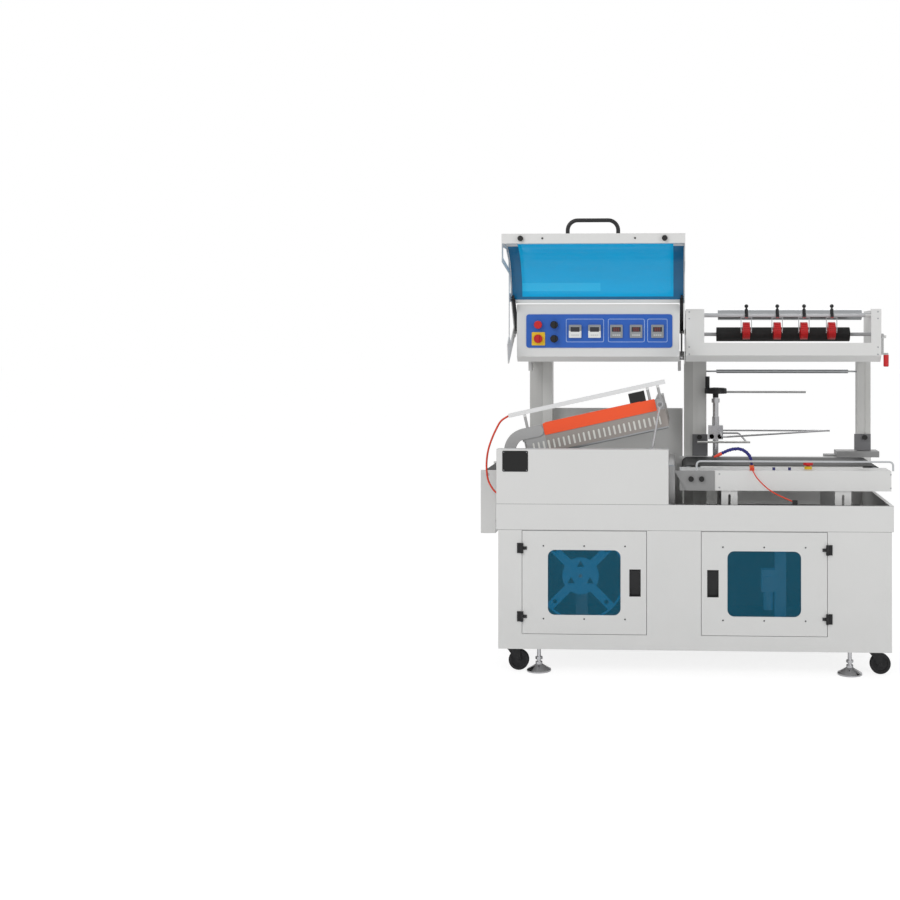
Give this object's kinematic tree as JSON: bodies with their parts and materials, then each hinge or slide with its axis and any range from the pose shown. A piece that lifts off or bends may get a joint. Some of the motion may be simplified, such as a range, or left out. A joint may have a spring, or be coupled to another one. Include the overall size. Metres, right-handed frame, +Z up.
{
  "type": "l bar sealer",
  "caption": "Floor-standing L-bar film sealer with an in-feed conveyor, exit conveyor, tilting hood, hinged sealing arm and overhead film unwinder on a wheeled cabinet.",
  "frame": {"origin": "on the floor under the centre of the machine's box", "axes": "+X to the right seen from the front, +Y from front to back, +Z up"},
  "size_m": [1.748, 0.937, 1.846],
  "materials": {
    "painted steel": "textured light grey enamel",
    "dark paint": "satin dark grey enamel",
    "blue acrylic": "clear blue acrylic",
    "bare steel": "brushed",
    "chrome": "polished",
    "aluminium": "anodised",
    "black plastic": "matt",
    "white plastic": "matt",
    "red plastic": "gloss",
    "blue foil": "satin printed foil",
    "orange paint": "gloss enamel",
    "belt": "woven top",
    "black rubber": "matt",
    "grey rubber": "matt"
  },
  "bodies": {
    "frame": {"cabinet": "painted steel", "deck_tray": "painted steel", "door_hinges": "bare steel", "levelling_feet": "bare steel", "seal_covers": "painted steel", "infeed_frame": "painted steel", "exit_frame": "painted steel", "conveyor_belts": "belt", "lower_jaw": "aluminium", "posts": "aluminium", "control_box": "painted steel", "control_panel": "blue foil", "panel_instruments": "black plastic", "unwinder_frame": "painted steel", "perforator_brackets": "chrome", "film_column": "bare steel", "air_unit": "white plastic", "air_hoses": "red plastic"},
    "hood": {"hood_frame": "painted steel", "hood_window": "blue acrylic"},
    "seal_arm": {"seal_arm": "aluminium", "seal_bar": "bare steel", "seal_guard": "orange paint"},
    "left_door": {"left_door": "painted steel", "left_door_window": "blue acrylic"},
    "right_door": {"right_door": "painted steel", "right_door_window": "blue acrylic"},
    "left_latch": {"left_latch": "black plastic"},
    "right_latch": {"right_latch": "black plastic"},
    "infeed_drive_roller": {"infeed_drive_roller": "bare steel"},
    "infeed_tail_roller": {"infeed_tail_roller": "bare steel"},
    "exit_drive_roller": {"exit_drive_roller": "bare steel"},
    "exit_tail_roller": {"exit_tail_roller": "bare steel"},
    "seal_cylinder": {"seal_cylinder": "aluminium"},
    "pull_rod": {"pull_rod": "chrome"},
    "left_strut_rod": {"left_strut_rod": "chrome"},
    "left_strut_cylinder": {"left_strut_cylinder": "dark paint"},
    "right_strut_rod": {"right_strut_rod": "chrome"},
    "right_strut_cylinder": {"right_strut_cylinder": "dark paint"},
    "stop_button": {"stop_button": "red plastic"},
    "main_switch": {"main_switch": "red plastic"},
    "upper_selector": {"upper_selector": "black plastic"},
    "lower_selector": {"lower_selector": "black plastic"},
    "infeed_stop_button": {"infeed_stop_button": "red plastic"},
    "support_roller": {"support_roller": "aluminium"},
    "feed_roller": {"feed_roller": "black rubber"},
    "film_idler": {"film_idler": "aluminium"},
    "perforating_wheels": {"perforating_wheels": "red plastic"},
    "brake_lever": {"brake_lever": "chrome"},
    "handwheel": {"handwheel": "black plastic"},
    "film_carriage": {"film_carriage": "chrome"},
    "scrap_reel": {"scrap_reel": "aluminium"},
    "front_left_fork": {"front_left_fork": "bare steel"},
    "front_left_wheel": {"front_left_wheel": "grey rubber"},
    "front_right_fork": {"front_right_fork": "bare steel"},
    "front_right_wheel": {"front_right_wheel": "grey rubber"},
    "rear_left_fork": {"rear_left_fork": "bare steel"},
    "rear_left_wheel": {"rear_left_wheel": "grey rubber"},
    "rear_right_fork": {"rear_right_fork": "bare steel"},
    "rear_right_wheel": {"rear_right_wheel": "grey rubber"}
  },
  "joints": [
    {"name": "left_door_hinge", "type": "hinge", "parent": "frame", "child": "left_door", "pos_m": [-0.6535, -0.3643, 0.375], "axis": [0, 0, -1], "range_deg": [0, 110]},
    {"name": "right_door_hinge", "type": "hinge", "parent": "frame", "child": "right_door", "pos_m": [0.5815, -0.3643, 0.375], "axis": [0, 0, 1], "range_deg": [0, 110]},
    {"name": "left_latch_hinge", "type": "hinge", "parent": "left_door", "child": "left_latch", "pos_m": [-0.1935, -0.353, 0.422], "axis": [-1, 0, 0], "range_deg": [0, 45]},
    {"name": "right_latch_hinge", "type": "hinge", "parent": "right_door", "child": "right_latch", "pos_m": [0.1215, -0.353, 0.422], "axis": [-1, 0, 0], "range_deg": [0, 45]},
    {"name": "front_left_swivel", "type": "hinge", "parent": "frame", "child": "front_left_fork", "pos_m": [-0.695, -0.288, 0.09], "axis": [0, 0, 1], "continuous": true},
    {"name": "front_left_wheel_spin", "type": "hinge", "parent": "front_left_fork", "child": "front_left_wheel", "pos_m": [-0.675, -0.288, 0.0428], "axis": [0, 1, 0], "continuous": true},
    {"name": "front_right_swivel", "type": "hinge", "parent": "frame", "child": "front_right_fork", "pos_m": [0.783, -0.288, 0.09], "axis": [0, 0, 1], "continuous": true},
    {"name": "front_right_wheel_spin", "type": "hinge", "parent": "front_right_fork", "child": "front_right_wheel", "pos_m": [0.803, -0.288, 0.0428], "axis": [0, 1, 0], "continuous": true},
    {"name": "rear_left_swivel", "type": "hinge", "parent": "frame", "child": "rear_left_fork", "pos_m": [-0.695, 0.402, 0.09], "axis": [0, 0, 1], "continuous": true},
    {"name": "rear_left_wheel_spin", "type": "hinge", "parent": "rear_left_fork", "child": "rear_left_wheel", "pos_m": [-0.675, 0.402, 0.0428], "axis": [0, 1, 0], "continuous": true},
    {"name": "rear_right_swivel", "type": "hinge", "parent": "frame", "child": "rear_right_fork", "pos_m": [0.783, 0.402, 0.09], "axis": [0, 0, 1], "continuous": true},
    {"name": "rear_right_wheel_spin", "type": "hinge", "parent": "rear_right_fork", "child": "rear_right_wheel", "pos_m": [0.803, 0.402, 0.0428], "axis": [0, 1, 0], "continuous": true},
    {"name": "infeed_drive_spin", "type": "hinge", "parent": "frame", "child": "infeed_drive_roller", "pos_m": [0.025, 0, 0.805], "axis": [0, 1, 0], "continuous": true},
    {"name": "infeed_tail_spin", "type": "hinge", "parent": "frame", "child": "infeed_tail_roller", "pos_m": [0.802, 0, 0.805], "axis": [0, 1, 0], "continuous": true},
    {"name": "exit_drive_spin", "type": "hinge", "parent": "frame", "child": "exit_drive_roller", "pos_m": [-0.12, 0.07, 0.784], "axis": [0, 1, 0], "continuous": true},
    {"name": "exit_tail_spin", "type": "hinge", "parent": "frame", "child": "exit_tail_roller", "pos_m": [-0.833, 0.07, 0.784], "axis": [0, 1, 0], "continuous": true},
    {"name": "seal_arm_hinge", "type": "hinge", "parent": "frame", "child": "seal_arm", "pos_m": [-0.744, 0, 0.8], "axis": [0, 1, 0], "range_deg": [0, 12.5]},
    {"name": "seal_cylinder_hinge", "type": "hinge", "parent": "frame", "child": "seal_cylinder", "pos_m": [-0.172, -0.252, 0.64], "axis": [0, 1, 0], "range_deg": [0, 12.7]},
    {"name": "pull_rod_slide", "type": "slide", "parent": "seal_cylinder", "child": "pull_rod", "axis": [0.1692, 0, 0.9856], "range_m": [-0.1295, 0]},
    {"name": "hood_hinge", "type": "hinge", "parent": "frame", "child": "hood", "pos_m": [-0.357, -0.058, 1.395], "axis": [1, 0, 0], "range_deg": [0, 102.49]},
    {"name": "left_strut_hinge", "type": "hinge", "parent": "frame", "child": "left_strut_rod", "pos_m": [-0.71, 0.022, 1.284], "axis": [1, 0, 0], "range_deg": [0, 67.45]},
    {"name": "left_strut_slide", "type": "slide", "parent": "left_strut_rod", "child": "left_strut_cylinder", "axis": [0, -0.6705, 0.7419], "range_m": [-0.144, 0]},
    {"name": "right_strut_hinge", "type": "hinge", "parent": "frame", "child": "right_strut_rod", "pos_m": [-0.004, 0.022, 1.284], "axis": [1, 0, 0], "range_deg": [0, 67.45]},
    {"name": "right_strut_slide", "type": "slide", "parent": "right_strut_rod", "child": "right_strut_cylinder", "axis": [0, -0.6705, 0.7419], "range_m": [-0.144, 0]},
    {"name": "stop_button_push", "type": "slide", "parent": "frame", "child": "stop_button", "axis": [0, 1, 0], "range_m": [0, 0.005], "stiffness_N_per_m": 600},
    {"name": "infeed_stop_push", "type": "slide", "parent": "frame", "child": "infeed_stop_button", "axis": [0, 0, -1], "range_m": [0, 0.005], "stiffness_N_per_m": 600},
    {"name": "main_switch_turn", "type": "hinge", "parent": "frame", "child": "main_switch", "pos_m": [-0.609, -0.165, 1.365], "axis": [0, 1, 0], "range_deg": [0, 90]},
    {"name": "upper_selector_turn", "type": "hinge", "parent": "frame", "child": "upper_selector", "pos_m": [-0.541, -0.167, 1.424], "axis": [0, 1, 0], "range_deg": [-45, 45]},
    {"name": "lower_selector_turn", "type": "hinge", "parent": "frame", "child": "lower_selector", "pos_m": [-0.541, -0.167, 1.365], "axis": [0, 1, 0], "range_deg": [-45, 45]},
    {"name": "support_roller_spin", "type": "hinge", "parent": "frame", "child": "support_roller", "pos_m": [0.47, 0.112, 1.471], "axis": [1, 0, 0], "continuous": true},
    {"name": "feed_roller_spin", "type": "hinge", "parent": "frame", "child": "feed_roller", "pos_m": [0.44, 0.072, 1.385], "axis": [1, 0, 0], "continuous": true},
    {"name": "film_idler_spin", "type": "hinge", "parent": "frame", "child": "film_idler", "pos_m": [0.455, 0.292, 1.217], "axis": [1, 0, 0], "continuous": true},
    {"name": "perforator_spin", "type": "hinge", "parent": "frame", "child": "perforating_wheels", "pos_m": [0.46, 0.00485, 1.4], "axis": [1, 0, 0], "continuous": true},
    {"name": "brake_lever_hinge", "type": "hinge", "parent": "frame", "child": "brake_lever", "pos_m": [0.837, -0.143, 1.374], "axis": [1, 0, 0], "range_deg": [-30, 30]},
    {"name": "handwheel_turn", "type": "hinge", "parent": "frame", "child": "handwheel", "pos_m": [0.151, 0.234, 1.13], "axis": [0, 0, 1], "range_deg": [-2160, 4320]},
    {"name": "carriage_slide", "type": "slide", "parent": "frame", "child": "film_carriage", "axis": [0, 0, 1], "range_m": [-0.03, 0.06]},
    {"name": "scrap_reel_spin", "type": "hinge", "parent": "frame", "child": "scrap_reel", "pos_m": [-0.418, -0.316, 0.394], "axis": [0, 1, 0], "continuous": true}
  ],
  "couplings": [
    {"joint": "infeed_tail_spin", "follows": "infeed_drive_spin", "ratio": 1},
    {"joint": "exit_tail_spin", "follows": "exit_drive_spin", "ratio": 1},
    {"joint": "seal_cylinder_hinge", "follows": "seal_arm_hinge", "ratio": 1.0113},
    {"joint": "pull_rod_slide", "follows": "seal_arm_hinge", "m_per_rad": -0.59276},
    {"joint": "left_strut_hinge", "follows": "hood_hinge", "ratio": 0.65765},
    {"joint": "left_strut_slide", "follows": "hood_hinge", "m_per_rad": -0.080467},
    {"joint": "right_strut_hinge", "follows": "hood_hinge", "ratio": 0.65765},
    {"joint": "right_strut_slide", "follows": "hood_hinge", "m_per_rad": -0.080467},
    {"joint": "perforator_spin", "follows": "feed_roller_spin", "ratio": -0.82667},
    {"joint": "carriage_slide", "follows": "handwheel_turn", "m_per_rad": 0.000796}
  ]
}
